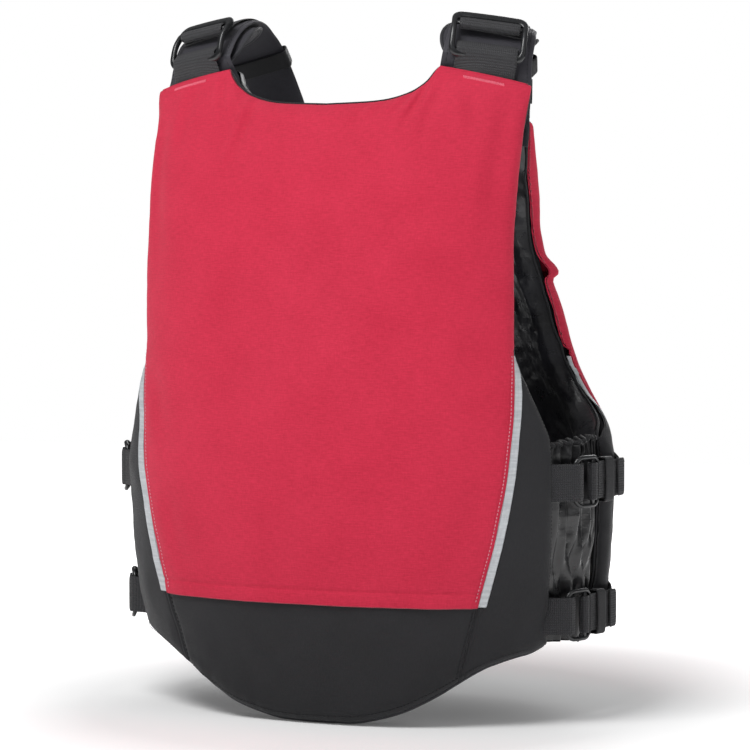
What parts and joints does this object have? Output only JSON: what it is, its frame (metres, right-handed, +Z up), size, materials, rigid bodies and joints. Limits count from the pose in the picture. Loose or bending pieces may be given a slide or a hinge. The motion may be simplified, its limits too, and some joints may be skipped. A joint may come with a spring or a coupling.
{
  "type": "life jacket",
  "caption": "Zip-front paddling buoyancy aid with a long back panel, foam slabs under woven covers, adjustable shoulder and side straps and a waist buckle.",
  "frame": {"origin": "on the wearer's torso axis, at the level of the lowest point of the back tail", "axes": "+Z up along the torso, -Y the way the wearer faces, +X the wearer's left"},
  "size_m": [0.4488, 0.2949, 0.5775],
  "materials": {
    "red_cloth": "woven polyester, dull",
    "black_cloth": "woven polyester, dull",
    "lining": "thin ripstop nylon, slightly shiny",
    "elastic_cloth": "gathered elastic cloth, dull",
    "strap_cloth": "smooth coated cloth",
    "reflective_tape": "silver-grey reflective tape",
    "webbing": "ribbed polyester webbing",
    "foam": "closed-cell buoyancy foam",
    "plastic": "moulded acetal, satin",
    "zip_tape": "woven tape with moulded teeth",
    "zip_metal": "black lacquered die-cast",
    "pull_plastic": "moulded puller"
  },
  "bodies": {
    "back": {"back_cover": "red_cloth", "back_tail_cover": "black_cloth", "back_wing_left": "black_cloth", "back_wing_right": "black_cloth", "back_foam": "foam", "wing_foam_left": "foam", "wing_foam_right": "foam", "back_lining": "lining", "back_tape_left": "reflective_tape", "back_tape_right": "reflective_tape", "side_gusset_left": "elastic_cloth", "side_gusset_right": "elastic_cloth", "shoulder_strap_left": "strap_cloth", "shoulder_strap_right": "strap_cloth", "shoulder_pad_left": "strap_cloth", "shoulder_pad_right": "strap_cloth", "shoulder_webbing_left": "webbing", "shoulder_webbing_right": "webbing", "shoulder_tail_left": "webbing", "shoulder_tail_right": "webbing", "side_strap_upper_left": "webbing", "side_strap_upper_right": "webbing", "side_strap_lower_left": "webbing", "side_strap_lower_right": "webbing"},
    "front_left": {"front_cover_left": "red_cloth", "front_wing_left": "black_cloth", "front_band_left": "black_cloth", "front_foam_left": "foam", "front_lining_left": "lining", "front_tape_left": "reflective_tape", "zip_tape_left": "zip_tape", "front_strap_upper_left": "webbing", "front_strap_lower_left": "webbing", "waist_belt_left": "webbing", "buckle_socket": "plastic"},
    "front_right": {"front_cover_right": "red_cloth", "front_wing_right": "black_cloth", "front_band_right": "black_cloth", "front_foam_right": "foam", "front_lining_right": "lining", "front_tape_right": "reflective_tape", "zip_tape_right": "zip_tape", "front_strap_upper_right": "webbing", "front_strap_lower_right": "webbing", "waist_belt_right": "webbing", "belt_tail": "webbing"},
    "zip_slider": {"zip_slider": "zip_metal"},
    "zip_pull": {"zip_pull": "pull_plastic"},
    "buckle_plug": {"buckle_plug": "plastic"},
    "shoulder_adjuster_left": {"shoulder_slider_left": "plastic", "shoulder_loop_left": "webbing"},
    "side_adjuster_upper_left": {"slider_upper_left": "plastic"},
    "side_adjuster_lower_left": {"slider_lower_left": "plastic"},
    "shoulder_adjuster_right": {"shoulder_slider_right": "plastic", "shoulder_loop_right": "webbing"},
    "side_adjuster_upper_right": {"slider_upper_right": "plastic"},
    "side_adjuster_lower_right": {"slider_lower_right": "plastic"}
  },
  "joints": [
    {"name": "front_left_swing", "type": "hinge", "parent": "back", "child": "front_left", "pos_m": [0.21, -0.008, 0.2], "axis": [-0.2953, 0.0205, 0.9552], "range_deg": [0, 60]},
    {"name": "front_right_swing", "type": "hinge", "parent": "back", "child": "front_right", "pos_m": [-0.21, -0.008, 0.2], "axis": [-0.2953, -0.0205, -0.9552], "range_deg": [0, 60]},
    {"name": "zip_slide", "type": "slide", "parent": "front_right", "child": "zip_slider", "axis": [0, 0.0967, 0.9953], "range_m": [0, 0.325]},
    {"name": "zip_pull_swing", "type": "hinge", "parent": "zip_slider", "child": "zip_pull", "pos_m": [0, -0.14792, 0.08523], "axis": [-1, 0, 0], "range_deg": [0, 100]},
    {"name": "buckle_slide", "type": "slide", "parent": "front_right", "child": "buckle_plug", "axis": [1, 0, 0], "range_m": [0, 0.039]},
    {"name": "shoulder_adjust_left", "type": "slide", "parent": "back", "child": "shoulder_adjuster_left", "axis": [-0.1355, -0.6131, 0.7783], "range_m": [-0.006, 0.008]},
    {"name": "shoulder_adjust_right", "type": "slide", "parent": "back", "child": "shoulder_adjuster_right", "axis": [0.1355, -0.6131, 0.7783], "range_m": [-0.006, 0.008]},
    {"name": "side_adjust_upper_left", "type": "slide", "parent": "back", "child": "side_adjuster_upper_left", "axis": [0.3804, -0.9248, 0], "range_m": [-0.012, 0.012]},
    {"name": "side_adjust_lower_left", "type": "slide", "parent": "back", "child": "side_adjuster_lower_left", "axis": [0.3804, -0.9248, 0], "range_m": [-0.012, 0.012]},
    {"name": "side_adjust_upper_right", "type": "slide", "parent": "back", "child": "side_adjuster_upper_right", "axis": [-0.3804, -0.9248, 0], "range_m": [-0.012, 0.012]},
    {"name": "side_adjust_lower_right", "type": "slide", "parent": "back", "child": "side_adjuster_lower_right", "axis": [-0.3804, -0.9248, 0], "range_m": [-0.012, 0.012]}
  ]
}
